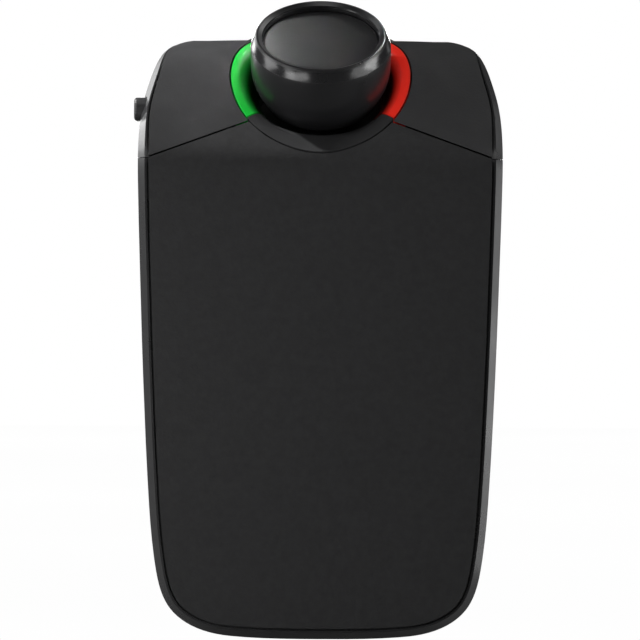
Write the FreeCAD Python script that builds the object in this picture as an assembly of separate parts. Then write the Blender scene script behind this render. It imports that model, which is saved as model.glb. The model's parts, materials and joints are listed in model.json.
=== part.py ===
import FreeCAD, Part
import os, math
from FreeCAD import Vector as V

# ---------------------------------------------------------------------------
# Clip-on in-car hands-free speaker.  Millimetres, +Z up, front faces -Y.
# Heights in this file run from the bottom edge of the body (z = 0); on export
# everything is lowered by Z0, so the row origin lies on the rear contact face.
# ---------------------------------------------------------------------------
os.makedirs("parts", exist_ok=True)

# driving dimensions
YF = -25.0          # plane of the front panel
Z0 = 44.0           # height of the mount origin above the bottom edge
BAND_W = 1.20       # width of the sloping side band seen from the front
BAND_D = 3.4        # its depth
LIP = 1.55          # band plus the rim outside the shadow gap
GAP = 1.90          # band, rim and shadow gap round the panels
PANEL_T = 1.6       # thickness of front panel and shoulder cover
WALL = 2.6          # housing wall, with the ledge that carries the panels
STEP = 0.75         # rim height below the panel surface
FRAME_A, FRAME_B = 2.4, 3.6     # front frame, depth below the panel surface
Y_SPLIT = -4.0      # housing to rear cover split
Y_IN = -2.2         # inner face of the rear cover
SEAM_Z = 81.45      # split between lower and upper housing
TILT = 34.3         # knob axis leans forward from vertical
C = V(0, -14.8, 95.7)           # centre of the control ring
R_HOLE, R_RING, R_IN = 15.47, 15.17, 10.4
SPK_Z = 27.0        # speaker centre height
HY, HZ = 7.0, 91.0  # clip hinge axis

# half outline of the widest section: (half width, height)
HALF = [(0, 0.43), (8, 0.51), (14.26, 0.86), (18.34, 1.5), (20.4, 2.2), (21.8, 2.87), (22.88, 3.55), (23.73, 4.25),
        (25.03, 5.6), (25.89, 6.93), (26.65, 8.9), (27.22, 11.2), (27.87, 15.4), (28.32, 19.6), (28.63, 23.8), (29.13, 32.3),
        (29.52, 40.7), (29.87, 49.2), (30.15, 57.6), (30.43, 66.1), (30.67, 74.5), (30.77, 79.5), (30.76, 83.3), (30.6, 86.8),
        (30.28, 89.5), (29.83, 91.7), (29.24, 93.8), (28.6, 95.7), (27.95, 97.4), (27.25, 98.8), (26.3, 99.9), (24.72, 100.9),
        (22.0, 101.58), (17.8, 101.92), (9.5, 102.12), (0, 102.2)]
N_HALF = 46
N_Q = 20


def spline(pts, closed=False, t0=None, t1=None):
    c = Part.BSplineCurve()
    if closed:
        c.interpolate(Points=pts, PeriodicFlag=True)
    elif t0 is not None:
        c.interpolate(Points=pts, InitialTangent=t0, FinalTangent=t1)
    else:
        c.interpolate(pts)
    return c.toShape()


_e = spline([V(x, 0, z) for x, z in HALF], False, V(1, 0, 0), V(-1, 0, 0))
_r = _e.discretize(Number=N_HALF)
BASE = [(p.x, p.z) for p in _r[:-1]] + [(-p.x, p.z) for p in reversed(_r[1:])]
BASE = [(0.0 if abs(x) < 1e-9 else x, z) for x, z in BASE]


def outline(y, inset):
    """closed section of the body at depth y, moved inward by inset(z)"""
    n = len(BASE)
    pts = []
    for i, (x, z) in enumerate(BASE):
        xa, za = BASE[(i - 1) % n]
        xb, zb = BASE[(i + 1) % n]
        tx, tz = xb - xa, zb - za
        m = math.hypot(tx, tz)
        d = inset(z)
        pts.append(V(x - tz / m * d, y, z + tx / m * d))
    return ring_wire(pts)


# inset of the outer wall towards the rear edge
SECT = [(-27.0, 0.0), (-5.5, 0.0), (-4.4, 0.05), (-3.4, 0.17), (-2.2, 0.45), (-1.2, 0.90), (-0.5, 1.50), (0.0, 2.4)]


# share of the full band width against height: the band narrows up the corner and runs out on the crown
FADE = [(82.5, 1.0), (85, 0.965), (88, 0.87), (91.5, 0.76), (94.5, 0.72), (96.5, 0.66), (98.2, 0.5), (99.6, 0.25), (100.7, 0.05), (101.2, 0.0)]


def fade(z):
    if z <= FADE[0][0]:
        return 1.0
    if z >= FADE[-1][0]:
        return 0.0
    n = len(FADE)
    for i in range(n - 1):
        (za, fa), (zb, fb) = FADE[i], FADE[i + 1]
        if z <= zb:
            # cubic between the table rows with matching slopes
            def slope(j):
                if j <= 0 or j >= n - 1:
                    return 0.0
                return (FADE[j + 1][1] - FADE[j - 1][1]) / (FADE[j + 1][0] - FADE[j - 1][0])
            h = zb - za
            t = (z - za) / h
            return max(0.0, (2 * t ** 3 - 3 * t * t + 1) * fa + (t ** 3 - 2 * t * t + t) * h * slope(i)
                       + (-2 * t ** 3 + 3 * t * t) * fb + (t ** 3 - t * t) * h * slope(i + 1))
    return 0.0


# side profile of the front: lean of the surface against height
LEAN = [(60, 0), (78.6, 0), (80.2, 7), (82, 20), (84, 31.5), (86, 35), (88, 35.3), (91, 36.5), (94, 39.5), (96, 42), (98, 47), (99.5, 54.5), (100.5, 61),
        (101.2, 66), (102.2, 73)]


def lean(z):
    if z <= LEAN[0][0]:
        return 0.0
    for (za, a), (zb, b) in zip(LEAN, LEAN[1:]):
        if z <= zb:
            s = (z - za) / (zb - za)
            return a + (b - a) * s
    return LEAN[-1][1]


PROF = [(YF, 78.0, 0.0)]
FINE = [YF]
_y, _z, _acc = YF, 78.0, 0.0
while _z < 102.2:
    a = math.radians(lean(_z + 0.01))
    _z += 0.02
    _y += 0.02 * math.tan(a)
    _acc += 0.02 / math.cos(a)
    FINE.append(_y)
    if _acc > 1.1 or _z >= 102.2:
        PROF.append((_y, _z, lean(_z)))
        _acc = 0.0


def prof_y(z):
    """depth of the front surface at height z"""
    if z <= 78.0:
        return YF
    k = (z - 78.0) / 0.02
    i = int(k)
    if i >= len(FINE) - 1:
        return FINE[-1] + (z - 102.2) * math.tan(math.radians(LEAN[-1][1]))
    return FINE[i] + (FINE[i + 1] - FINE[i]) * (k - i)


def ring_wire(pts):
    """closed wire of four smooth edges through the points of one section"""
    n = len(pts)
    q = [0, N_Q, N_HALF - 1, n - N_Q, n]
    ring = pts + [pts[0]]

    def tan(i):
        v = pts[(i + 1) % n] - pts[(i - 1) % n]
        return v.normalize()
    return Part.Wire([spline(ring[a:b + 1], False, tan(a), tan(b % n)) for a, b in zip(q, q[1:])])


def band_wires():
    """front edge of the housing: start and end of the sloping band that runs round the face"""
    n = len(BASE)
    wa, wb = [], []
    for i, (x, z) in enumerate(BASE):
        xa, za = BASE[(i - 1) % n]
        xb, zb = BASE[(i + 1) % n]
        m = math.hypot(xb - xa, zb - za)
        nx, nz = -(zb - za) / m, (xb - xa) / m
        f = fade(z)
        c = max(0.6, math.cos(math.radians(lean(z))))
        zi = z + nz * BAND_W * f
        ya = min(prof_y(zi) + STEP / c, -6.6)
        yb = min(prof_y(z) + STEP / c + BAND_D * f + 0.25, -6.0)
        wa.append(V(x + nx * BAND_W * f, ya, zi))
        wb.append(V(x, max(yb, ya + 0.25), z))
    return ring_wire(wa), ring_wire(wb)


def body(extra=0.0, band=False):
    """outer form, or the same form moved inward by extra"""
    ws = [outline(y, (lambda z, q=o: q + extra)) for y, o in SECT]
    if band:
        ws = [outline(-27.0, (lambda z: BAND_W * fade(z)))] + list(band_wires()) + ws[1:]
    return Part.makeLoft(ws, True, True)


def tube(inset, y0=-27.0, y1=-1.2, faded=False):
    """straight form with the outline moved inward"""
    w = outline(y0, (lambda z: inset * (fade(z) if faded else 1.0)))
    return Part.Face(w).extrude(V(0, y1 - y0, 0))


def behind(off, y_back=6.0):
    """everything behind the front surface moved inward by off"""
    pts = []
    for y, z, a in PROF:
        r = math.radians(a)
        pts.append(V(-45, y + off * math.cos(r), z - off * math.sin(r)))
    a = math.radians(PROF[-1][2])
    e = pts[-1]
    far = V(-45, y_back, e.z + (y_back - e.y) / math.tan(a))
    edges = [Part.makeLine(V(-45, YF + off, -8), pts[0]),
             spline(pts, False, V(0, 0, 1), V(0, math.sin(a), math.cos(a))),
             Part.makeLine(e, far), Part.makeLine(far, V(-45, y_back, -8)),
             Part.makeLine(V(-45, y_back, -8), V(-45, YF + off, -8))]
    return Part.Face(Part.Wire(edges)).extrude(V(90, 0, 0))


def box(x0, x1, y0, y1, z0, z1):
    return Part.makeBox(x1 - x0, y1 - y0, z1 - z0, V(x0, y0, z0))


def cyl(r, p, q):
    d = q - p
    return Part.makeCylinder(r, d.Length, p, d)


def prism(pts, y0, y1):
    w = Part.makePolygon([V(x, y0, z) for x, z in pts] + [V(pts[0][0], y0, pts[0][1])])
    return Part.Face(w).extrude(V(0, y1 - y0, 0))


def rev(pts, curved=None):
    """solid of revolution about local Z from (r, t) points; curved = list of index pairs joined by one spline"""
    edges, i = [], 0
    n = len(pts)
    curved = curved or []
    while i < n:
        hit = [c for c in curved if c[0] == i]
        if hit:
            a, b = hit[0]
            edges.append(spline([V(pts[k][0], 0, pts[k][1]) for k in range(a, b + 1)]))
            i = b
        else:
            p, q = pts[i], pts[(i + 1) % n]
            edges.append(Part.makeLine(V(p[0], 0, p[1]), V(q[0], 0, q[1])))
            i += 1
        if i == n - 1 and not [c for c in curved if c[0] == i]:
            p, q = pts[i], pts[0]
            edges.append(Part.makeLine(V(p[0], 0, p[1]), V(q[0], 0, q[1])))
            break
    f = Part.Face(Part.Wire(edges))
    return f.revolve(V(0, 0, 0), V(0, 0, 1), 360)


PL = FreeCAD.Placement(C, FreeCAD.Rotation(V(1, 0, 0), TILT))


def loc(s):
    """knob frame (x, b, t) to the body frame"""
    s = s.copy()
    s.Placement = PL.multiply(s.Placement)
    return s


def unloc(s):
    """body frame to the knob frame"""
    s = s.copy()
    s.Placement = PL.inverse().multiply(s.Placement)
    return s


def at(x, b, t):
    return PL.multVec(V(x, b, t))


A_DIR = PL.Rotation.multVec(V(0, 0, 1))


def one(s):
    """plain solid or compound with clean faces"""
    try:
        s = s.removeSplitter()
    except Exception:
        pass
    so = [q for q in s.Solids if q.Volume > 0.02]
    if len(so) == 1:
        return so[0]
    return Part.makeCompound(so)


OUT = {}


def keep(name, s):
    OUT[name] = one(s)


# ------------------------------------------------------------------ shells
B0 = body(0.0, True)
B_lip = tube(LIP, faded=True)
B_pan = tube(GAP, faded=True)
B_in = body(WALL).common(box(-50, 50, -30, Y_IN, -10, 120))
P0, P1 = behind(0.0), behind(PANEL_T)
P_step, P_ledge = behind(STEP), behind(PANEL_T)
layer = P0.cut(P1)

# seam line of the shoulders: height at half width x
VX0, VZ0, VX1, VZ1 = 28.73, 81.68, 12.2, 87.73
VS = (VZ1 - VZ0) / (VX0 - VX1)


def vz(x, d=0.0):
    return VZ0 + (VX0 - abs(x)) * VS + d


def vee(lower, d):
    top = [(-45, vz(45, d)), (0, vz(0, d)), (45, vz(45, d))]
    if lower:
        return prism([(-45, -10)] + top + [(45, -10)], -32, 10)
    return prism([(-45, 130)] + top + [(45, 130)], -32, 10)


ring_hole = loc(Part.makeCylinder(R_HOLE, 40, V(0, 0, -20)))
plates = layer.common(B_pan)
panel = plates.common(vee(True, -0.15)).cut(ring_hole)
posts = []
for x, z in [(-24, 20), (24, 20), (-25.5, 48), (25.5, 48), (-26, 76), (26, 76), (0, 5.5), (-12, 78.5), (12, 78.5)]:
    posts.append(cyl(1.2, V(x, YF + PANEL_T - 0.05, z), V(x, YF + FRAME_A, z)))
panel = panel.fuse(posts)
keep("front_panel", panel)

sh = plates.common(vee(False, 0.15)).common(box(-50, 50, -30, -6.6, 70, 110)).cut(ring_hole)
# collar behind the knob that closes the ring


def wedge(half_deg, r, t0, t1):
    n = 8
    pts = [V(0, 0, t0)] + [V(r * math.sin(math.radians(-half_deg + 2 * half_deg * i / n)),
                            r * math.cos(math.radians(-half_deg + 2 * half_deg * i / n)), t0) for i in range(n + 1)]
    return Part.Face(Part.makePolygon(pts + [pts[0]])).extrude(V(0, 0, t1 - t0))


R_COL = 16.6
collar = Part.makeCylinder(R_COL, 2.9, V(0, 0, -3.0)).cut(Part.makeCylinder(R_HOLE, 10, V(0, 0, -6))).common(wedge(62, 40, -8, 8))
bowl = rev([(R_IN + 0.1, -6.2), (R_HOLE + 0.4, -6.2), (R_HOLE + 0.4, -0.1), (R_HOLE, -0.1), (14.5, -0.19), (13.75, -0.4), (13.05, -0.8),
            (12.45, -1.4), (11.95, -2.2), (11.55, -3.2), (11.15, -4.3), (R_IN + 0.1, -5.4)])
bowl = bowl.common(wedge(38.8, 40, -8, 8))
bridge = loc(collar.fuse(bowl)).common(box(-50, 50, -30, Y_SPLIT - 0.1, 60, 130).fuse(box(-50, 50, -30, -1.2, 102.3, 130)))
sh = sh.fuse(bridge)
# pocket for the flange of the side button
sh = sh.cut(box(-28.5, -24, -17.35, -7.65, 87.05, 92.45))
keep("shoulder_cover", sh)

shell = B0.common(P_step)
shell = shell.cut(B_lip.cut(P_ledge)).cut(B_in)
rim = shell.common(box(-50, 50, -30, Y_SPLIT, -5, 120))
low = rim.common(box(-50, 50, -30, 10, -5, SEAM_Z - 0.06))
up = rim.common(box(-50, 50, -30, 10, SEAM_Z + 0.06, 120))
up = up.cut(loc(Part.makeCylinder(R_COL + 0.12, 24, V(0, 0, -8))))

# charging socket opening, right side
UY, UZ = -10.7, 69.0
slot = box(27, 33, UY - 1.75, UY + 1.75, UZ - 4.15, UZ + 4.15)
slot = slot.makeFillet(1.2, [e for e in slot.Edges if abs(e.tangentAt(e.FirstParameter).x) > 0.9])
low = low.cut(slot)
# microphone hole, bottom edge
low = low.cut(cyl(0.6, V(8, -13, -3), V(8, -13, 5)))
keep("side_housing", low)

# power button opening, left side
PY, PZ = -12.5, 89.75


def stadium(x0, x1, ly, lz, cy=PY, cz=PZ):
    b = box(x0, x1, cy - ly / 2, cy + ly / 2, cz - lz / 2, cz + lz / 2)
    return b.makeFillet(min(ly, lz) / 2 - 0.35, [e for e in b.Edges if abs(e.tangentAt(e.FirstParameter).x) > 0.9])


up = up.cut(stadium(-34, -26, 8.4, 4.3)).cut(stadium(-28.5, -24, 9.7, 5.4))
B_bar = tube(WALL - 0.2)
BAR = (-6.0, Y_SPLIT - 0.1, 82.6, 83.9)
up = up.fuse(box(-40, 40, BAR[0], BAR[1], BAR[2], BAR[3]).common(B_bar))
keep("top_housing", up)

# ------------------------------------------------------------------ rear cover
rear = B0.common(P_step).cut(B_in).common(box(-50, 50, Y_SPLIT + 0.08, 5, -5, 120))
rear = rear.cut(box(-50, 50, -0.8, 5, 84.0, 120))
SCREWS = [(-21.5, 8.6), (21.5, 8.6), (-24.2, 80.0), (24.2, 80.0)]
for x, z in SCREWS:
    rear = rear.cut(cyl(2.1, V(x, -1.3, z), V(x, 2, z))).cut(cyl(1.1, V(x, -3, z), V(x, 2, z)))
# locating lip inside the split line
lipring = tube(WALL + 0.22).cut(tube(WALL + 1.1)).common(box(-50, 50, Y_SPLIT - 1.2, Y_IN, -5, 120))
lipring = lipring.cut(loc(Part.makeCylinder(R_COL + 0.2, 30, V(0, 0, -14))))
for x, z in SCREWS:
    lipring = lipring.cut(cyl(2.9, V(x, -6, z), V(x, 0, z)))
lipring = lipring.cut(box(-40, 40, BAR[0] - 0.1, BAR[1] + 0.1, BAR[2] - 0.15, BAR[3] + 0.15))
rear = rear.fuse(lipring)
rear = rear.fuse(box(-23.6, -22.2, -10.5, Y_IN + 0.05, 87.4, 92.2))
CSC = [(-7.5, 95.0), (7.5, 95.0), (-7.5, 87.0), (7.5, 87.0)]
for x, z in CSC:
    rear = rear.cut(cyl(0.85, V(x, -4, z), V(x, 2, z)))
keep("rear_cover", rear)
heads = []
for x, z in SCREWS:
    s = cyl(1.9, V(x, -1.3, z), V(x, -0.25, z)).fuse(cyl(0.95, V(x, -9.0, z), V(x, -1.25, z)))
    s = s.cut(box(x - 1.2, x + 1.2, -0.75, 0, z - 0.22, z + 0.22)).cut(box(x - 0.22, x + 0.22, -0.75, 0, z - 1.2, z + 1.2))
    heads.append(s)
OUT["case_screws"] = Part.makeCompound([h.Solids[0] for h in heads])

# ------------------------------------------------------------------ front frame
B_fr = tube(WALL + 0.12)
B_boss = tube(WALL + 0.75)
fr = behind(FRAME_A).cut(behind(FRAME_B)).common(B_fr).common(box(-50, 50, -30, -9.0, -5, 120))
fr = fr.cut(loc(Part.makeCylinder(16.4, 40, V(0, 0, -20))))
cut = cyl(16.4, V(0, -30, SPK_Z), V(0, -18, SPK_Z))
for i in range(-2, 3):
    cut = cut.cut(box(-20, 20, -30, -18, SPK_Z + i * 5.6 - 0.6, SPK_Z + i * 5.6 + 0.6))
fr = fr.cut(cut)
YB = YF + FRAME_B
BSC = [(-22.6, 50.5), (22.6, 50.5), (-22.6, 74.6), (22.6, 74.6)]
PCB_F, PCB_R = -13.2, -12.2
add = []
for x, z in SCREWS:
    add.append(cyl(2.5, V(x, YB - 0.1, z), V(x, Y_IN, z)))
for x, z in BSC:
    add.append(cyl(1.9, V(x, YB - 0.1, z), V(x, PCB_F, z)))
fr = fr.fuse(add[0].fuse(add[1:]).common(B_boss))
fr = fr.cut(box(-50, -21.4, -18.6, 0, 84.5, 97.0))
for x, z in SCREWS:
    fr = fr.cut(cyl(1.0, V(x, -10, z), V(x, 0, z)))
for x, z in BSC:
    fr = fr.cut(cyl(0.8, V(x, -19, z), V(x, 0, z)))
keep("front_frame", fr)

# ------------------------------------------------------------------ control ring


def t_outer(deg, r):
    """height along the knob axis at which the radius-r cylinder meets the front surface"""
    x, b = r * math.sin(math.radians(deg)), r * math.cos(math.radians(deg))
    lo, hi = -9.0, 4.0

    def f(t):
        p = at(x, b, t)
        return p.y - prof_y(p.z)
    for _ in range(60):
        m = (lo + hi) / 2
        if f(m) > 0:
            lo = m
        else:
            hi = m
    return (lo + hi) / 2


# cross section of the ring as (radius, height below the outer edge when that edge is 5.4 above the foot)
RING_SEC = [(R_IN, -5.4), (11.15, -4.25), (11.55, -3.1), (11.95, -2.1), (12.45, -1.3), (13.05, -0.7), (13.75, -0.3), (14.5, -0.09), (R_RING, 0.0)]


def ring_loft(d0, d1, n, tb):
    ws = []
    ti = -5.4
    for i in range(n + 1):
        d = d0 + (d1 - d0) * i / n
        s, c = math.sin(math.radians(d)), math.cos(math.radians(d))
        to = t_outer(d, R_RING)
        pt = lambda r, t: V(r * s, r * c, t)
        top = [pt(r, ti + (to - ti) * (1 + t / 5.4)) for r, t in RING_SEC]
        e = [spline(top), Part.makeLine(top[-1], pt(R_RING, tb)), Part.makeLine(pt(R_RING, tb), pt(R_IN, tb)),
             Part.makeLine(pt(R_IN, tb), top[0])]
        ws.append(Part.Wire(e))
    return Part.makeLoft(ws, True, False)


# split lines between buttons and lower segment, in the plane across the knob axis
S_OUT, S_IN = (12.5, -8.9), (9.06, -5.5)


def split(side, lower, d):
    """half plane prism along the knob axis; d moves the line away from the neighbour"""
    dx, db = S_OUT[0] - S_IN[0], S_OUT[1] - S_IN[1]
    m = math.hypot(dx, db)
    nx, nb = -db / m, dx / m
    k = -d if lower else d
    a = (S_IN[0] - dx / m * 30 + nx * k, S_IN[1] - db / m * 30 + nb * k)
    b = (S_IN[0] + dx / m * 30 + nx * k, S_IN[1] + db / m * 30 + nb * k)
    w = -45 if lower else 45
    pts = [a, b, (b[0] + nx * w, b[1] + nb * w), (a[0] + nx * w, a[1] + nb * w)]
    pts = [V(side * x, y, -20) for x, y in pts]
    return Part.Face(Part.makePolygon(pts + [pts[0]])).extrude(V(0, 0, 40))


T_BTN, T_CAR = -7.6, -8.4
right = ring_loft(40, 150, 22, T_BTN).common(split(1, False, 0.12))
right = unloc(loc(right).common(box(-50, 50, -30, -4.75, 60, 130)))
stem = Part.makeCylinder(1.1, 3.65, V(12.9, 0, -11.2))
right = right.fuse(stem)
left = right.mirror(V(0, 0, 0), V(1, 0, 0))
keep("end_button", loc(right))
keep("call_button", loc(left))
seg = ring_loft(105, 255, 24, T_CAR).common(split(1, True, 0.12)).common(split(-1, True, 0.12))
keep("dish_segment", loc(seg))

car = Part.makeCylinder(18.0, 1.2, V(0, 0, -9.6)).cut(Part.makeCylinder(3.55, 3, V(0, 0, -10.5)))
for sx in (-1, 1):
    car = car.cut(Part.makeCylinder(1.4, 3, V(sx * 12.9, 0, -10.5)))
    car = car.fuse(Part.makeCylinder(1.7, 4.0, V(sx * 9.0, -10.3, -13.5)))
    car = car.cut(Part.makeCylinder(0.8, 6, V(sx * 9.0, -10.3, -14)))
    car = car.cut(Part.makeCylinder(0.9, 3, V(sx * 7.5, 6.0, -10.5)))
car = loc(car).common(behind(FRAME_B + 0.03)).common(B_fr).common(box(-50, 50, -30, -4.6, 60, 120))
keep("ring_carrier", car)

# ------------------------------------------------------------------ knob and encoder
kp = [(3.02, -5.57), (8.6, -5.57), (9.3, -4.6), (10.2, -3.2), (10.95, -1.8), (11.62, 0.3), (11.84, 2.4), (11.88, 4.2),
      (11.84, 5.75), (11.78, 6.0), (11.16, 7.62), (10.95, 7.92), (10.62, 7.98), (9.98, 7.58), (9.83, 7.4), (9.83, 5.5), (3.02, 5.5)]
kb = rev(kp, [(1, 8)])
kb = kb.fuse(Part.makeCylinder(3.6, 2.0, V(0, 0, 3.2)))
keep("knob_body", loc(kb))
cap = rev([(0, 5.5), (9.7, 5.5), (9.7, 6.55), (9.45, 6.62), (7.0, 6.36), (4.0, 6.2), (0, 6.15)], [(3, 6)])
keep("knob_cap", loc(cap))
shaft = Part.makeCylinder(3.0, 15.5, V(0, 0, -12.4))
shaft = shaft.cut(Part.makeBox(8, 4, 9.0, V(-4, 2.0, -5.2)))
keep("encoder_shaft", loc(shaft))
keep("push_plunger", loc(Part.makeCylinder(2.5, 0.5, V(0, 0, -12.92))))
eb = Part.makeBox(11, 10.4, 3.85, V(-5.5, -5.5, -13.5)).cut(Part.makeCylinder(3.06, 6, V(0, 0, -14.5)))
keep("encoder_body", loc(eb))
bush = Part.makeCylinder(3.5, 2.75, V(0, 0, -9.65)).cut(Part.makeCylinder(3.06, 6, V(0, 0, -11)))
keep("encoder_bush", loc(bush))
hexp = [V(4.6 * math.cos(math.radians(60 * i)), 4.6 * math.sin(math.radians(60 * i)), -8.4) for i in range(7)]
nut = Part.Face(Part.makePolygon(hexp)).extrude(V(0, 0, 1.1)).cut(Part.makeCylinder(3.52, 4, V(0, 0, -10)))
keep("encoder_nut", loc(nut))
kpcb = Part.makeBox(32, 17.2, 1.0, V(-16, -12.6, -14.5))
for sx in (-1, 1):
    kpcb = kpcb.cut(Part.makeCylinder(0.9, 3, V(sx * 9.0, -10.3, -15.5)))
keep("knob_pcb", loc(kpcb))
OUT["knob_screws"] = Part.makeCompound([loc(Part.makeCylinder(0.75, 4.0, V(sx * 9.0, -10.3, -14.5)).fuse(
    Part.makeCylinder(1.4, 0.9, V(sx * 9.0, -10.3, -15.4)))).Solids[0] for sx in (-1, 1)])
sw = []
for sx in (-1, 1):
    s = Part.makeBox(4.4, 4.4, 1.6, V(sx * 12.9 - 2.2, -2.2, -13.5)).cut(Part.makeCylinder(0.96, 1.2, V(sx * 12.9, 0, -13.0)))
    sw.append(loc(s).Solids[0])
OUT["button_switches"] = Part.makeCompound(sw)
keep("end_plunger", loc(Part.makeCylinder(0.9, 1.3, V(12.9, 0, -12.5))))
keep("call_plunger", loc(Part.makeCylinder(0.9, 1.3, V(-12.9, 0, -12.5))))
led = []
for sx in (-1, 1):
    for b in (-5.2, 4.0):
        led.append(loc(Part.makeBox(1.6, 0.8, 0.7, V(sx * 12.2 - 0.8, b - 0.4, -13.5))).Solids[0])
OUT["button_leds"] = Part.makeCompound(led)

# ------------------------------------------------------------------ power button
pb = stadium(-31.55, -27.6, 8.1, 3.95)
oe = [e for e in pb.Edges if abs(e.BoundBox.XMin + 31.55) < 1e-3 and abs(e.BoundBox.XMax + 31.55) < 1e-3]
pb = pb.makeFillet(0.55, oe)
pb = pb.fuse(stadium(-27.75, -27.1, 9.2, 4.9))
keep("power_button", pb)
keep("power_plunger", cyl(0.8, V(-27.1, PY, PZ), V(-25.6, PY, PZ)))
keep("power_switch", box(-26.4, -24.4, PY - 2.2, PY + 2.2, PZ - 2.2, PZ + 2.2).cut(cyl(0.87, V(-27, PY, PZ), V(-24.9, PY, PZ))))
keep("power_pcb", box(-24.4, -23.6, -14.6, -7.5, 86.4, 92.2))

# ------------------------------------------------------------------ electronics
pcb = box(-25, 25, PCB_F, PCB_R, 48, 77)
for x, z in BSC:
    pcb = pcb.cut(cyl(0.9, V(x, -15, z), V(x, -10, z)))
keep("main_pcb", pcb)
OUT["board_screws"] = Part.makeCompound([cyl(0.75, V(x, -18.5, z), V(x, PCB_R + 0.05, z)).fuse(
    cyl(1.5, V(x, PCB_R, z), V(x, PCB_R + 1.0, z))).Solids[0] for x, z in BSC])
can = box(-16, 0, PCB_R, PCB_R + 1.9, 53, 67)
can = can.makeFillet(0.5, [e for e in can.Edges if abs(e.tangentAt(e.FirstParameter).y) > 0.9])
can = can.cut(box(-15.7, -0.3, PCB_R - 1, PCB_R + 1.6, 53.3, 66.7))
keep("shield_can", can)
OUT["board_chips"] = Part.makeCompound([box(-12, -5, PCB_R, PCB_R + 0.9, 56, 63), box(4, 9, PCB_R, PCB_R + 1.0, 54, 59),
                                        box(12, 15, PCB_R, PCB_R + 0.8, 55, 58), box(4, 7, PCB_R, PCB_R + 0.9, 62, 66),
                                        box(10, 14.5, PCB_R, PCB_R + 1.2, 63, 67.5), box(-22, -19, PCB_R, PCB_R + 0.8, 58, 61)])
us = box(23.0, 28.7, PCB_R, PCB_R + 2.7, UZ - 3.75, UZ + 3.75)
us = us.makeFillet(0.7, [e for e in us.Edges if abs(e.tangentAt(e.FirstParameter).x) > 0.9])
us = us.cut(box(24.0, 29, PCB_R + 0.35, PCB_R + 2.35, UZ - 3.4, UZ + 3.4))
us = us.fuse(box(23.9, 27.6, PCB_R + 0.95, PCB_R + 1.45, UZ - 2.4, UZ + 2.4))
keep("usb_socket", us)

# battery with foam, leads and plug
bat = box(-20, 20, -20.6, -15.0, 50.5, 74.0)
bat = bat.makeFillet(1.6, [e for e in bat.Edges if abs(e.tangentAt(e.FirstParameter).z) > 0.9])
keep("battery_cell", bat)
keep("battery_foam", box(-19, 19, YB, -20.6, 51, 73.5))
plug = box(-9.0, -2.0, PCB_R, PCB_R + 2.2, 70.0, 73.5)
keep("battery_plug", plug)
leads = []
for dx in (-6.2, -3.6):
    path = Part.Wire([spline([V(dx, -17.0, 74.0), V(dx, -16.6, 75.2), V(dx, -15.4, 76.5), V(dx, -13.8, 77.75), V(dx, -12.6, 78.0),
                              V(dx, -11.4, 77.2), V(dx, -11.0, 75.5), V(dx, -11.0, 73.5)], False, V(0, 0, 1), V(0, 0, -1))])
    circ = Part.Wire([Part.makeCircle(0.5, V(dx, -17.0, 74.0), V(0, 0, 1))])
    leads.append(path.makePipeShell([circ], True, False).Solids[0])
OUT["battery_leads"] = Part.makeCompound(leads)
# ribbon from the knob board to the main board
fp = [(-16.7, 77.0), (-16.2, 78.0), (-14.9, 79.2), (-13.4, 79.2), (-12.4, 78.2), (-12.05, 76.5), (-12.05, 73.6)]
e0 = at(0, -12.6, -14.5)
fp = [(e0.y, e0.z), (e0.y + 0.75, e0.z - 0.15), (-14.3, 77.9), (-13.2, 78.35), (-12.25, 77.6), (-11.95, 76.2), (-11.95, 74.2)]
inner = [V(10.7, y, z) for y, z in fp]
nrm = []
for i in range(len(fp)):
    a = fp[max(0, i - 1)]
    b = fp[min(len(fp) - 1, i + 1)]
    m = math.hypot(b[0] - a[0], b[1] - a[1])
    nrm.append((-(b[1] - a[1]) / m, (b[0] - a[0]) / m))
outer = [V(10.7, p[0] + n[0] * 0.18, p[1] + n[1] * 0.18) for p, n in zip(fp, nrm)]
w = Part.Wire([spline(inner), Part.makeLine(inner[-1], outer[-1]), spline(list(reversed(outer))), Part.makeLine(outer[0], inner[0])])
flex = Part.Face(w).extrude(V(5.2, 0, 0))
flex = flex.fuse(box(10.3, 16.3, PCB_R, PCB_R + 1.2, 72.0, 74.4))
flex = flex.cut(OUT["knob_pcb"]).cut(OUT["main_pcb"])
keep("ribbon_cable", flex)


# ------------------------------------------------------------------ speaker
def spk(s):
    """local Z runs from the front towards the rear, at the speaker centre"""
    s = s.copy()
    s.Placement = FreeCAD.Placement(V(0, YB, SPK_Z), FreeCAD.Rotation(V(1, 0, 0), -90)).multiply(s.Placement)
    return s


keep("speaker_gasket", spk(Part.makeCylinder(19.8, 0.6).cut(Part.makeCylinder(17.6, 3, V(0, 0, -1)))))
basket = rev([(17.7, 0.6), (20.0, 0.6), (20.0, 1.8), (19.0, 1.8), (11.2, 8.4), (11.2, 9.2), (4.0, 9.2), (4.0, 8.4), (10.3, 8.4), (17.7, 1.9)])
win = None
for k in range(4):
    b = Part.makeBox(9.0, 9.0, 4.0, V(10.2, -4.5, 3.0))
    b.rotate(V(0, 0, 0), V(0, 0, 1), 45 + 90 * k)
    basket = basket.cut(b)
keep("speaker_basket", spk(basket))
keep("speaker_magnet", spk(rev([(0, 9.2), (9.5, 9.2), (9.5, 13.6), (9.1, 14.0), (0, 14.0)])))
cone = rev([(3.5, 7.4), (14.8, 2.5), (14.8, 2.85), (3.5, 7.8)])
cone = cone.fuse(rev([(0, 5.0), (2.5, 5.4), (4.6, 6.7), (4.6, 7.15), (2.5, 5.85), (0, 5.4)], []))
keep("speaker_cone", spk(cone))
keep("speaker_coil", spk(Part.makeCylinder(3.4, 1.6, V(0, 0, 7.5)).cut(Part.makeCylinder(2.9, 4, V(0, 0, 7)))))
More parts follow.
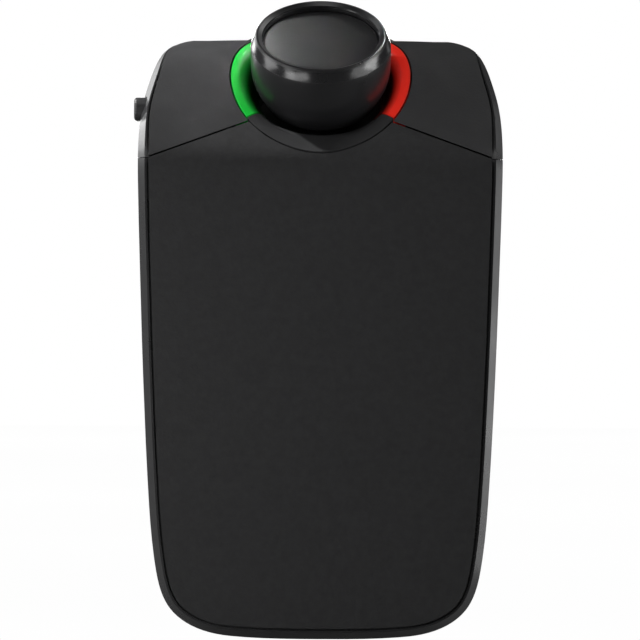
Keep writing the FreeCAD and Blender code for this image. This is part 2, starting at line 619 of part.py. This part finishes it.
surr = rev([(14.6, 1.45), (15.3, 0.7), (16.3, 0.45), (17.1, 0.75), (17.65, 1.4), (17.65, 1.8), (16.9, 1.15), (16.2, 0.85), (15.4, 1.1), (14.9, 1.75), (14.9, 2.5), (14.6, 2.5)])
keep("speaker_surround", spk(surr))
keep("speaker_cloth", cyl(18.3, V(0, YF + FRAME_A - 0.2, SPK_Z), V(0, YF + FRAME_A, SPK_Z)))

# microphone
MX, MY = 8.0, -13.0
keep("mic_boot", cyl(3.1, V(MX, MY, 3.3), V(MX, MY, 7.05)).cut(cyl(2.0, V(MX, MY, 4.05), V(MX, MY, 7.5))).cut(cyl(0.6, V(MX, MY, 1), V(MX, MY, 4.5))))
keep("mic_capsule", cyl(1.98, V(MX, MY, 4.05), V(MX, MY, 6.25)))

# ------------------------------------------------------------------ visor clip
br = box(-15, 15, -0.8, 0.9, 84.5, 97.5)
br = br.makeFillet(2.0, [e for e in br.Edges if abs(e.tangentAt(e.FirstParameter).y) > 0.9])
for sx in (-1, 1):
    x0, x1 = (11.0, 13.4) if sx > 0 else (-13.4, -11.0)
    ear = box(x0, x1, 0.5, HY, HZ - 2.9, HZ + 2.9).fuse(cyl(2.9, V(x0, HY, HZ), V(x1, HY, HZ)))
    br = br.fuse(ear)
br = br.cut(cyl(1.27, V(-20, HY, HZ), V(20, HY, HZ)))
for x, z in CSC:
    br = br.cut(cyl(0.9, V(x, -2, z), V(x, 3, z)))
keep("clip_bracket", br)
OUT["clip_screws"] = Part.makeCompound([cyl(0.8, V(x, -2.1, z), V(x, 0.95, z)).fuse(cyl(1.5, V(x, 0.9, z), V(x, 1.6, z))).Solids[0]
                                        for x, z in CSC if True])
pin = cyl(1.25, V(-13.6, HY, HZ), V(13.6, HY, HZ)).fuse(cyl(1.9, V(-14.3, HY, HZ), V(-13.45, HY, HZ)))
keep("clip_pin", pin)
AT = 1.8
arm = box(-16, 16, HY - 1.2, HY - 1.2 + AT, 30, HZ - 3.2)
arm = arm.makeFillet(5.0, [e for e in arm.Edges if abs(e.tangentAt(e.FirstParameter).y) > 0.9 and e.BoundBox.ZMax < 40])
arm = arm.fuse(box(-10.7, 10.7, HY - 1.2, HY - 1.2 + AT, HZ - 4.0, HZ))
for x0, x1 in ((-10.7, -5.2), (5.2, 10.7)):
    arm = arm.fuse(cyl(2.9, V(x0, HY, HZ), V(x1, HY, HZ)))
arm = arm.cut(box(-5.2, 5.2, 0, 12, HZ - 3.3, HZ + 3.3))
arm = arm.cut(cyl(1.31, V(-20, HY, HZ), V(20, HY, HZ)))
# flared lead-in at the foot of the arm
fpts = [V(-9.5, HY - 1.2, 31.5), V(-9.5, HY + 3.4, 23.0), V(-9.5, HY + 5.2, 23.0), V(-9.5, HY + 0.6, 31.9)]
foot = Part.Face(Part.makePolygon(fpts + [fpts[0]])).extrude(V(19, 0, 0))
arm = arm.fuse(foot)
# thumb tab above the hinge
tpts = [V(-10.7, HY + 0.4, HZ + 2.6), V(-10.7, HY + 4.6, HZ + 10.6), V(-10.7, HY + 6.3, HZ + 9.8), V(-10.7, HY + 2.2, HZ + 1.6)]
tab = Part.Face(Part.makePolygon(tpts + [tpts[0]])).extrude(V(21.4, 0, 0)).cut(box(-5.2, 5.2, 0, HY + 3.6, HZ - 3.3, HZ + 3.3))
arm = arm.fuse(tab)
for i in range(3):
    arm = arm.cut(cyl(0.45, V(-8, HY + 5.2 - i * 0.75, HZ + 8.4 - i * 1.5), V(8, HY + 5.2 - i * 0.75, HZ + 8.4 - i * 1.5)))
keep("clip_arm", arm)
OUT["clip_pads"] = Part.makeCompound([box(-12, 12, HY - 2.2, HY - 1.2, 36, 45), box(-12, 12, HY - 2.2, HY - 1.2, 62, 71)])
# torsion spring round the pin, six turns, one leg on the bracket and one on the back of the arm
hx = Part.makeHelix(1.4, 8.4, 2.0)
pr = Part.Wire([Part.makeCircle(0.36, V(2.0, 0, 0), V(0, 1, 0))])
coil = Part.Wire(hx.Edges).makePipeShell([pr], True, True)
coil.rotate(V(0, 0, 0), V(0, 1, 0), 90)
coil.translate(V(-4.2, HY, HZ))
WR = 0.36
l1 = [V(-4.2, HY + 0.3, HZ - 2.0), V(-4.2, 1.35, HZ - 2.3), V(-4.2, 1.35, HZ - 3.6)]
l2 = [V(4.2, HY - 0.3, HZ - 2.0), V(4.2, HY + 1.02, HZ - 2.6), V(4.2, HY + 1.02, HZ - 10.0)]
legs = []
for l in (l1, l2):
    legs += [cyl(WR, l[0], l[1]), Part.makeSphere(WR, l[1]), cyl(WR, l[1], l[2])]
keep("clip_spring", coil.Solids[0].fuse(legs))

bad = 0
names = sorted(OUT)
for n in names:
    s = OUT[n].copy()
    s.translate(V(0, 0, -Z0))
    s.exportStep("parts/%s.step" % n)
    bb = s.BoundBox
    ok = s.isValid() and all(q.isValid() and q.isClosed() for q in s.Solids)
    if not ok or len(s.Solids) == 0:
        bad += 1
    print("%-18s solids %d vol %9.2f valid %s  x %.2f..%.2f y %.2f..%.2f z %.2f..%.2f" % (
        n, len(s.Solids), s.Volume, ok, bb.XMin, bb.XMax, bb.YMin, bb.YMax, bb.ZMin, bb.ZMax))
print("nodes", len(names), "bad", bad)
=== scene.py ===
import bpy, bmesh, json, math
from mathutils import Vector, Matrix


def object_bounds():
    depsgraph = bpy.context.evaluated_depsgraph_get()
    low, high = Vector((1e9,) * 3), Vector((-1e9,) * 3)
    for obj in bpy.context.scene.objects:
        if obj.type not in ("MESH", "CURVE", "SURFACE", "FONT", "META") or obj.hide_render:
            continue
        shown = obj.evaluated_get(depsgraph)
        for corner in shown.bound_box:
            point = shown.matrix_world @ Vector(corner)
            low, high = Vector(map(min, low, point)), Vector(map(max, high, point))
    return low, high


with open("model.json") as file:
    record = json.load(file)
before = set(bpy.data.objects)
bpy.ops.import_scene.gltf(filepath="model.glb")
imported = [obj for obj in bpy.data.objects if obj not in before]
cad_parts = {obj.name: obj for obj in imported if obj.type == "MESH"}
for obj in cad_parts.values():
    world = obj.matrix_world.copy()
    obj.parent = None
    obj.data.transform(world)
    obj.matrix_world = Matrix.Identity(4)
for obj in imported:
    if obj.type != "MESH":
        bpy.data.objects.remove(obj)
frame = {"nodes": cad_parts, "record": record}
BOX0 = [list(v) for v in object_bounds()]
N = frame["nodes"]
MM = 0.001

# ----------------------------------------------------------------------------
# materials
# ----------------------------------------------------------------------------


def new_mat(name):
    m = bpy.data.materials.new(name)
    m.use_nodes = True
    nt = m.node_tree
    nt.nodes.clear()
    out = nt.nodes.new("ShaderNodeOutputMaterial")
    b = nt.nodes.new("ShaderNodeBsdfPrincipled")
    nt.links.new(b.outputs[0], out.inputs[0])
    tc = nt.nodes.new("ShaderNodeTexCoord")
    return m, nt, b, tc


def ramp(nt, src, stops):
    r = nt.nodes.new("ShaderNodeValToRGB")
    e = r.color_ramp.elements
    e[0].position, e[0].color = stops[0][0], (*stops[0][1], 1)
    e[1].position, e[1].color = stops[-1][0], (*stops[-1][1], 1)
    for p, c in stops[1:-1]:
        n = e.new(p)
        n.color = (*c, 1)
    nt.links.new(src, r.inputs[0])
    return r.outputs[0]


def noise(nt, tc, scale, detail=3.0, rough=0.55, stretch=None):
    v = tc.outputs["Object"]
    if stretch:
        mp = nt.nodes.new("ShaderNodeMapping")
        mp.inputs["Scale"].default_value = stretch
        nt.links.new(v, mp.inputs[0])
        v = mp.outputs[0]
    n = nt.nodes.new("ShaderNodeTexNoise")
    n.inputs["Scale"].default_value = scale
    n.inputs["Detail"].default_value = detail
    n.inputs["Roughness"].default_value = rough
    nt.links.new(v, n.inputs["Vector"])
    return n.outputs["Fac"]


def maprange(nt, src, a, b, lo=0.3, hi=0.7):
    m = nt.nodes.new("ShaderNodeMapRange")
    m.inputs["From Min"].default_value = lo
    m.inputs["From Max"].default_value = hi
    m.inputs["To Min"].default_value = a
    m.inputs["To Max"].default_value = b
    nt.links.new(src, m.inputs["Value"])
    return m.outputs[0]


def bump(nt, src, dist, strength=1.0, prev=None):
    b = nt.nodes.new("ShaderNodeBump")
    b.inputs["Distance"].default_value = dist
    b.inputs["Strength"].default_value = strength
    nt.links.new(src, b.inputs["Height"])
    if prev is not None:
        nt.links.new(prev, b.inputs["Normal"])
    return b.outputs[0]


def plastic(name, col, rough, grain=5000.0, grain_mm=0.01, vary=0.12, rvary=0.06, spec=0.5, coat=0.0, mottle=260.0, metallic=0.0,
            sss=0.0, sss_col=None, wave_mm=0.0, coat_rough=0.12, strength=0.6):
    m, nt, b, tc = new_mat(name)
    big = noise(nt, tc, mottle, 4.0)
    lo = tuple(max(0.0, c * (1 - vary)) for c in col)
    hi = tuple(min(1.0, c * (1 + vary)) for c in col)
    nt.links.new(ramp(nt, big, [(0.3, lo), (0.5, col), (0.7, hi)]), b.inputs["Base Color"])
    fine = noise(nt, tc, grain, 2.0, 0.6)
    nt.links.new(maprange(nt, noise(nt, tc, mottle * 0.35, 5.0, 0.65), rough - rvary, rough + rvary), b.inputs["Roughness"])
    nrm = bump(nt, fine, grain_mm * MM, strength)
    if wave_mm:
        nrm = bump(nt, noise(nt, tc, 120.0, 2.0), wave_mm * MM, 0.5, nrm)
    nt.links.new(nrm, b.inputs["Normal"])
    b.inputs["Specular IOR Level"].default_value = spec
    b.inputs["Metallic"].default_value = metallic
    b.inputs["Coat Weight"].default_value = coat
    b.inputs["Coat Roughness"].default_value = coat_rough
    if sss:
        b.inputs["Subsurface Weight"].default_value = sss
        b.inputs["Subsurface Radius"].default_value = (0.002, 0.002, 0.002)
        b.inputs["Subsurface Scale"].default_value = 0.5
    return m


def metal(name, col, rough, stretch=(1, 1, 1), scale=900.0, rv=0.1):
    m, nt, b, tc = new_mat(name)
    f = noise(nt, tc, scale, 3.0, 0.6, stretch)
    lo = tuple(c * 0.86 for c in col)
    nt.links.new(ramp(nt, f, [(0.35, lo), (0.65, col)]), b.inputs["Base Color"])
    nt.links.new(maprange(nt, f, rough - rv, rough + rv), b.inputs["Roughness"])
    nt.links.new(bump(nt, f, 0.004 * MM, 0.4), b.inputs["Normal"])
    b.inputs["Metallic"].default_value = 1.0
    return m


def button_painted_shade_glow(name, col, painted_glow_col, strength):
    """translucent button with painted shade and a painted glow: emission makes its outer half brightest, and its
    base colour is painted nearly dark beside the knob, where the knob's shade falls
    """
    m = plastic(name, col, 0.32, 2400, 0.004, 0.06, 0.04, 0.5, sss=0.25)
    nt = m.node_tree
    b = [n for n in nt.nodes if n.type == "BSDF_PRINCIPLED"][0]
    tc = [n for n in nt.nodes if n.type == "TEX_COORD"][0]
    sub = nt.nodes.new("ShaderNodeVectorMath")
    sub.operation = "SUBTRACT"
    sub.inputs[1].default_value = (0.0, -0.0148, 0.0517)
    nt.links.new(tc.outputs["Object"], sub.inputs[0])
    crs = nt.nodes.new("ShaderNodeVectorMath")
    crs.operation = "CROSS_PRODUCT"
    crs.inputs[1].default_value = (0.0, -0.5635, 0.826)
    nt.links.new(sub.outputs[0], crs.inputs[0])
    ln = nt.nodes.new("ShaderNodeVectorMath")
    ln.operation = "LENGTH"
    nt.links.new(crs.outputs[0], ln.inputs[0])
    # painted shade: the base colour drops to a tenth of itself towards the knob, standing in for the knob's shade
    out = maprange(nt, ln.outputs["Value"], 0.0, 1.0, 12.2 * MM, 13.9 * MM)
    old = b.inputs["Base Color"].links[0].from_socket
    mix = nt.nodes.new("ShaderNodeMix")
    mix.data_type = "RGBA"
    nt.links.new(out, mix.inputs[0])
    mix.inputs[6].default_value = (*[c * 0.10 for c in col], 1)
    nt.links.new(old, mix.inputs[7])
    nt.links.new(mix.outputs[2], b.inputs["Base Color"])
    # painted glow: emission brightens the button's outer half and fades out before the outer edge, standing in for
    # light on the button
    b.inputs["Emission Color"].default_value = (*painted_glow_col, 1)
    rim = maprange(nt, ln.outputs["Value"], 1.0, 0.0, 14.9 * MM, 15.2 * MM)
    mul = nt.nodes.new("ShaderNodeMath")
    mul.operation = "MULTIPLY"
    nt.links.new(out, mul.inputs[0])
    nt.links.new(rim, mul.inputs[1])
    nt.links.new(maprange(nt, mul.outputs[0], 0.0, strength, 0.0, 1.0), b.inputs["Emission Strength"])
    return m


def knob_mat():
    """satin side with a polished bevel at the top: roughness follows the height along the knob's own axis"""
    m = plastic("knob_black", (0.014, 0.014, 0.015), 0.30, 3600, 0.004, 0.10, 0.04, 0.5)
    nt = m.node_tree
    b = [n for n in nt.nodes if n.type == "BSDF_PRINCIPLED"][0]
    tc = [n for n in nt.nodes if n.type == "TEX_COORD"][0]
    old = b.inputs["Roughness"].links[0].from_socket
    dot = nt.nodes.new("ShaderNodeVectorMath")
    dot.operation = "DOT_PRODUCT"
    dot.inputs[1].default_value = (0.0, -0.5635, 0.826)
    nt.links.new(tc.outputs["Object"], dot.inputs[0])
    # height of the axis origin is 0.05105 m along the axis
    up = maprange(nt, dot.outputs["Value"], 0.0, 1.0, 0.05105 + 5.85 * MM, 0.05105 + 6.15 * MM)
    lip = maprange(nt, dot.outputs["Value"], 1.0, 0.0, 0.05105 + 7.45 * MM, 0.05105 + 7.62 * MM)
    both = nt.nodes.new("ShaderNodeMath")
    both.operation = "MULTIPLY"
    nt.links.new(up, both.inputs[0])
    nt.links.new(lip, both.inputs[1])
    mix = nt.nodes.new("ShaderNodeMix")
    mix.data_type = "FLOAT"
    nt.links.new(both.outputs[0], mix.inputs[0])
    nt.links.new(old, mix.inputs[2])
    nt.links.new(maprange(nt, noise(nt, tc, 900, 2.0), 0.16, 0.20), mix.inputs[3])
    nt.links.new(mix.outputs[0], b.inputs["Roughness"])
    return m


MATS = {
    "soft_panel": plastic("soft_panel", (0.0172, 0.0172, 0.0179), 0.60, 2300, 0.050, 0.20, 0.05, 0.42, mottle=900, strength=0.9),
    "shoulder_black": plastic("shoulder_black", (0.024, 0.024, 0.025), 0.50, 2600, 0.032, 0.14, 0.04, 0.5, strength=0.8),
    "housing_black": plastic("housing_black", (0.022, 0.022, 0.023), 0.30, 3000, 0.006, 0.10, 0.05, 0.5),
    "rear_black": plastic("rear_black", (0.024, 0.024, 0.025), 0.50, 2600, 0.05, 0.14, 0.06, 0.45),
    "frame_black": plastic("frame_black", (0.012, 0.012, 0.012), 0.6, 2600, 0.02),
    "dish_black": plastic("dish_black", (0.034, 0.034, 0.035), 0.42, 3000, 0.005),
    "call_green": button_painted_shade_glow("call_green", (0.008, 0.52, 0.045), (0.004, 0.62, 0.045), 0.16),
    "end_red": button_painted_shade_glow("end_red", (0.80, 0.030, 0.014), (0.80, 0.016, 0.008), 0.34),
    "knob_black": knob_mat(),
    "knob_disc": plastic("knob_disc", (0.018, 0.018, 0.019), 0.34, 3200, 0.022, 0.14, 0.04, 0.5),
    "steel": metal("steel", (0.56, 0.56, 0.57), 0.3, (1, 1, 8)),
    "dark_screw": metal("dark_screw", (0.06, 0.06, 0.062), 0.38),
    "brass": metal("brass", (0.70, 0.52, 0.22), 0.3),
    "board_green": plastic("board_green", (0.018, 0.10, 0.04), 0.35, 1500, 0.01, 0.2),
    "chip_black": plastic("chip_black", (0.02, 0.02, 0.02), 0.55, 3000, 0.02),
    "can_metal": metal("can_metal", (0.62, 0.62, 0.62), 0.28, (6, 1, 1)),
    "switch_white": plastic("switch_white", (0.60, 0.58, 0.53), 0.45, 2500, 0.01),
    "led_white": plastic("led_white", (0.80, 0.80, 0.74), 0.25, 2500, 0.004),
    "cell_silver": metal("cell_silver", (0.60, 0.62, 0.64), 0.38, (1, 1, 1), 300, 0.12),
    "foam_black": plastic("foam_black", (0.02, 0.02, 0.02), 0.9, 1800, 0.12, 0.3),
    "lead_red": plastic("lead_red", (0.40, 0.02, 0.015), 0.4, 2500, 0.01),
    "ribbon_amber": plastic("ribbon_amber", (0.42, 0.19, 0.03), 0.3, 1800, 0.01),
    "cone_paper": plastic("cone_paper", (0.02, 0.02, 0.02), 0.8, 2200, 0.08, 0.25),
    "surround_rubber": plastic("surround_rubber", (0.014, 0.014, 0.014), 0.45, 2500, 0.01),
    "magnet_dark": metal("magnet_dark", (0.20, 0.20, 0.21), 0.35),
    "coil_copper": metal("coil_copper", (0.62, 0.28, 0.13), 0.35, (1, 30, 1)),
    "cloth_black": plastic("cloth_black", (0.014, 0.014, 0.014), 0.85, 2600, 0.12, 0.3),
    "boot_rubber": plastic("boot_rubber", (0.016, 0.016, 0.016), 0.6, 2500, 0.02),
    "clip_black": plastic("clip_black", (0.022, 0.022, 0.023), 0.45, 2800, 0.035, 0.12, 0.06, 0.5),
    "pad_rubber": plastic("pad_rubber", (0.014, 0.014, 0.014), 0.7, 1500, 0.05, 0.2),
}
slots = {s["node"]: s["material_slot"] for s in frame["record"]["subparts"]}

BEVEL = {"front_panel": 0.20, "shoulder_cover": 0.20, "side_housing": 0.10, "top_housing": 0.10, "rear_cover": 0.15, "call_button": 0.16,
         "end_button": 0.16, "dish_segment": 0.12, "knob_body": 0.05, "power_button": 0.05, "clip_arm": 0.35, "clip_bracket": 0.3,
         "clip_pads": 0.25, "knob_cap": 0.04, "case_screws": 0.05, "clip_screws": 0.08}


def crease_group(deg):
    """keeps the edges sharper than deg crisp and shades the rest smooth"""
    g = bpy.data.node_groups.new("crease", "GeometryNodeTree")
    g.interface.new_socket("Geometry", in_out="INPUT", socket_type="NodeSocketGeometry")
    g.interface.new_socket("Geometry", in_out="OUTPUT", socket_type="NodeSocketGeometry")
    gi, go = g.nodes.new("NodeGroupInput"), g.nodes.new("NodeGroupOutput")
    ang = g.nodes.new("GeometryNodeInputMeshEdgeAngle")
    cmp_ = g.nodes.new("FunctionNodeCompare")
    cmp_.data_type = "FLOAT"
    cmp_.operation = "GREATER_THAN"
    cmp_.inputs[1].default_value = math.radians(deg)
    g.links.new(ang.outputs[0], cmp_.inputs[0])
    sf = g.nodes.new("GeometryNodeSetShadeSmooth")
    sf.domain = "FACE"
    sf.inputs["Shade Smooth"].default_value = True
    se = g.nodes.new("GeometryNodeSetShadeSmooth")
    se.domain = "EDGE"
    se.inputs["Shade Smooth"].default_value = False
    g.links.new(gi.outputs[0], sf.inputs[0])
    g.links.new(sf.outputs[0], se.inputs[0])
    g.links.new(cmp_.outputs[0], se.inputs["Selection"])
    g.links.new(se.outputs[0], go.inputs[0])
    return g


CREASE = crease_group(14.0)
CREASE_SOFT = crease_group(25.0)


def dress(n, o):
    m = MATS["clip_black" if n == "power_button" else slots[n]]
    o.data.materials.clear()
    o.data.materials.append(m)
    for p in o.data.polygons:
        p.material_index = 0
        p.use_smooth = True
    if "custom_normal" in o.data.attributes:
        o.data.attributes.remove(o.data.attributes["custom_normal"])
    w = o.modifiers.new("weld", "WELD")
    w.merge_threshold = 2e-6
    c = o.modifiers.new("crease", "NODES")
    c.node_group = CREASE_SOFT if n in ("rear_cover", "battery_leads", "ribbon_cable", "clip_spring") else CREASE
    wd = BEVEL.get(n, 0.06)
    b = o.modifiers.new("round", "BEVEL")
    b.width = wd * MM
    b.segments = 2 if wd >= 0.1 else 1
    b.limit_method = "ANGLE"
    b.angle_limit = math.radians(38)
    b.harden_normals = True
    b.use_clamp_overlap = True


for n, o in N.items():
    dress(n, o)

# ----------------------------------------------------------------------------
# stage, lights, camera
# ----------------------------------------------------------------------------


def quad(name, pts, mat):
    me = bpy.data.meshes.new(name)
    me.from_pydata(pts, [], [tuple(range(len(pts)))])
    o = bpy.data.objects.new(name, me)
    bpy.context.scene.collection.objects.link(o)
    me.materials.append(mat)
    return o


zf = BOX0[0][2] - 0.0006
STAGE = {}


def white_sheet(name, lit):
    """plain pale sheet: white to look at, and only a little light of its own for the object"""
    m, nt, b, tc = new_mat(name)
    b.inputs["Roughness"].default_value = 0.9
    b.inputs["Specular IOR Level"].default_value = 0.1
    nt.links.new(ramp(nt, noise(nt, tc, 1.2, 2.0), [(0.3, (0.10, 0.10, 0.10)), (0.7, (0.11, 0.11, 0.11))]), b.inputs["Base Color"])
    out = [n for n in nt.nodes if n.type == "OUTPUT_MATERIAL"][0]
    seen = nt.nodes.new("ShaderNodeEmission")
    nt.links.new(ramp(nt, noise(nt, tc, 1.5, 2.0), [(0.3, (0.985, 0.985, 0.985)), (0.7, (1, 1, 1))]), seen.inputs[0])
    own = nt.nodes.new("ShaderNodeEmission")
    own.inputs[1].default_value = lit
    add = nt.nodes.new("ShaderNodeAddShader")
    nt.links.new(b.outputs[0], add.inputs[0])
    nt.links.new(own.outputs[0], add.inputs[1])
    lp = nt.nodes.new("ShaderNodeLightPath")
    mix = nt.nodes.new("ShaderNodeMixShader")
    nt.links.new(lp.outputs["Is Camera Ray"], mix.inputs[0])
    nt.links.new(add.outputs[0], mix.inputs[1])
    nt.links.new(seen.outputs[0], mix.inputs[2])
    nt.links.new(mix.outputs[0], out.inputs[0])
    STAGE[name] = own.inputs[1]
    return m


quad("floor", [(-3, -3, zf), (3, -3, zf), (3, 3, zf), (-3, 3, zf)], white_sheet("floor", 0.06))

world = bpy.data.worlds.new("studio")
bpy.context.scene.world = world
world.use_nodes = True
wn = world.node_tree
bg = wn.nodes["Background"]
bg.inputs[0].default_value = (1, 1, 1, 1)
bg.inputs[1].default_value = 0.04
bg2 = wn.nodes.new("ShaderNodeBackground")
bg2.inputs[0].default_value = (1, 1, 1, 1)
bg2.inputs[1].default_value = 1.0
lpw = wn.nodes.new("ShaderNodeLightPath")
mxw = wn.nodes.new("ShaderNodeMixShader")
wn.links.new(lpw.outputs["Is Camera Ray"], mxw.inputs[0])
wn.links.new(bg.outputs[0], mxw.inputs[1])
wn.links.new(bg2.outputs[0], mxw.inputs[2])
wn.links.new(mxw.outputs[0], wn.nodes["World Output"].inputs[0])
STAGE["world"] = bg.inputs[1]


def area(name, loc, target, sx, sy, power, col=(1, 1, 1), spread=180.0):
    d = bpy.data.lights.new(name, "AREA")
    d.shape = "RECTANGLE"
    d.size, d.size_y = sx, sy
    d.energy = power
    d.color = col
    o = bpy.data.objects.new(name, d)
    bpy.context.scene.collection.objects.link(o)
    o.location = loc
    v = Vector(target) - Vector(loc)
    o.rotation_euler = v.to_track_quat("-Z", "Y").to_euler()
    o.visible_camera = False
    d.spread = math.radians(spread)
    return o


area("top_right", (0.30, 0.10, 0.58), (0, 0, 0.03), 0.30, 0.30, 0.8000)
area("near_left", (-0.16, -0.15, 0.02), (0, -0.02, 0.0), 0.05, 0.34, 0.1300)
area("back_right", (0.38, 0.47, -0.13), (0, 0, 0.0), 0.24, 0.40, 0.2300)
area("back_left", (-0.38, 0.47, 0.06), (0, 0, 0.0), 0.24, 0.40, 0.0450)
area("corner_left", (-0.33, 0.42, 0.24), (0, 0, 0.03), 0.24, 0.24, 0.5200)
area("corner_right", (0.16, 0.42, 0.46), (0, 0, 0.03), 0.20, 0.14, 0.0500)
area("front_top", (-0.05, -0.55, 0.62), (0, 0, 0.04), 0.30, 0.25, 0.5000)
area("low_left", (-0.118, -0.158, -0.014), (0, -0.02, 0.055), 0.13, 0.055, 0.0880)
area("low_right", (0.245, -0.115, 0.004), (0, -0.02, 0.055), 0.17, 0.095, 0.1200)
area("side_right", (0.42, -0.05, 0.10), (0, 0, 0.05), 0.20, 0.20, 0.8000)
area("left_high", (-0.30, 0.06, 0.33), (-0.027, -0.006, 0.057), 0.03, 0.03, 0.0095, spread=6.0)
area("disc_key", (0.135, 0.212, 0.657), (-0.002, -0.020, 0.065), 0.03, 0.03, 0.0006, spread=3.0)
area("strip_right", (0.070, 0.050, -0.016), (0.03, -0.004, -0.016), 0.012, 0.052, 0.0018)
area("rim_left", (-0.34, 0.41, 0.135), (0, -0.02, 0.055), 0.10, 0.08, 0.1000)
area("rim_right", (0.34, 0.41, 0.14), (0, -0.02, 0.055), 0.08, 0.08, 0.010)
area("rear_fill", (0.0, 0.60, 0.05), (0, 0, 0), 0.22, 0.22, 3.5)
area("side_left", (-0.42, -0.05, 0.10), (0, 0, 0.05), 0.20, 0.20, 0.5500)

D, K = 1.5, 0.16991
cam = bpy.data.cameras.new("cam")
cam.sensor_width = 36.0
cam.lens = 36.0 * D / (640 * K * MM)
cam.clip_start, cam.clip_end = 0.01, 40
co = bpy.data.objects.new("cam", cam)
bpy.context.scene.collection.objects.link(co)
co.location = (0.00009, -0.009 - D, 54.25 * MM - 0.044)
co.rotation_euler = (math.radians(90), math.radians(-0.3), 0)
bpy.context.scene.camera = co
bpy.context.scene.view_settings.view_transform = "Standard"
bpy.context.scene.view_settings.look = "None"
